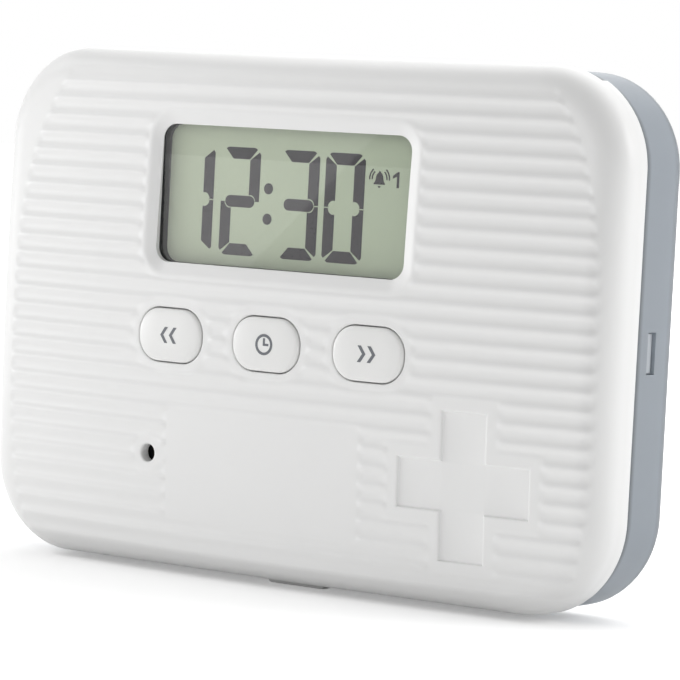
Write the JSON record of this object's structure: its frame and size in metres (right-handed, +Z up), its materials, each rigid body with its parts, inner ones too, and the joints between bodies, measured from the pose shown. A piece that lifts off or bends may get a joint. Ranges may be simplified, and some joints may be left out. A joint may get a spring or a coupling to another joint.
{
  "type": "pill box with alarm",
  "caption": "Flat pill box standing on edge: a white ribbed timer housing with display and three buttons, hinged over a smoked case of pill pockets.",
  "frame": {"origin": "middle of the bounding box's lower face, under the thumb tab", "axes": "+X along the width to the right of the display, -Y out of the ribbed face, +Z up"},
  "size_m": [0.1264, 0.026, 0.0883],
  "materials": {
    "white_casing": "fine satin white ABS",
    "smoke_plastic": "smoked translucent polycarbonate",
    "tray_plastic": "natural translucent polypropylene",
    "clear_window": "clear polished acrylic",
    "black_rubber": "black foam rubber",
    "display_glass": "grey-green display glass",
    "silver_film": "pale reflective film",
    "board_green": "green board with solder mask",
    "black_plastic": "moulded black plastic",
    "button_white": "fine satin white ABS",
    "switch_red": "moulded switch plunger",
    "steel": "bright nickel-plated steel",
    "brass_disc": "brass sounder disc",
    "tin": "tinned can"
  },
  "bodies": {
    "timer": {"front_casing": "white_casing", "display_window": "clear_window", "display_gasket": "black_rubber", "display_panel": "display_glass", "display_backing": "silver_film", "contact_strips": "black_rubber", "main_board": "board_green", "controller_chip": "black_plastic", "clock_crystal": "tin", "capacitors": "tin", "switch_housings": "black_plastic", "sounder_housing": "black_plastic", "sounder_disc": "brass_disc", "board_screws": "steel", "back_plate": "white_casing", "plate_screws": "steel", "coin_cell": "steel", "lower_contact": "steel", "rim_contact": "steel", "battery_door": "white_casing", "door_screw": "steel", "hinge_pins": "steel"},
    "case": {"pill_case": "smoke_plastic", "pill_tray": "tray_plastic"},
    "hour_key": {"hour_button": "button_white", "hour_plunger": "switch_red"},
    "mode_key": {"mode_button": "button_white", "mode_plunger": "switch_red"},
    "minute_key": {"minute_button": "button_white", "minute_plunger": "switch_red"}
  },
  "joints": [
    {"name": "case_hinge", "type": "hinge", "parent": "timer", "child": "case", "pos_m": [0, 0.00009, 0.0863], "axis": [1, 0, 0], "range_deg": [0, 100]},
    {"name": "hour_press", "type": "slide", "parent": "timer", "child": "hour_key", "axis": [0, 1, 0], "range_m": [0, 0.0005], "stiffness_N_per_m": 1200},
    {"name": "mode_press", "type": "slide", "parent": "timer", "child": "mode_key", "axis": [0, 1, 0], "range_m": [0, 0.0005], "stiffness_N_per_m": 1200},
    {"name": "minute_press", "type": "slide", "parent": "timer", "child": "minute_key", "axis": [0, 1, 0], "range_m": [0, 0.0005], "stiffness_N_per_m": 1200}
  ]
}
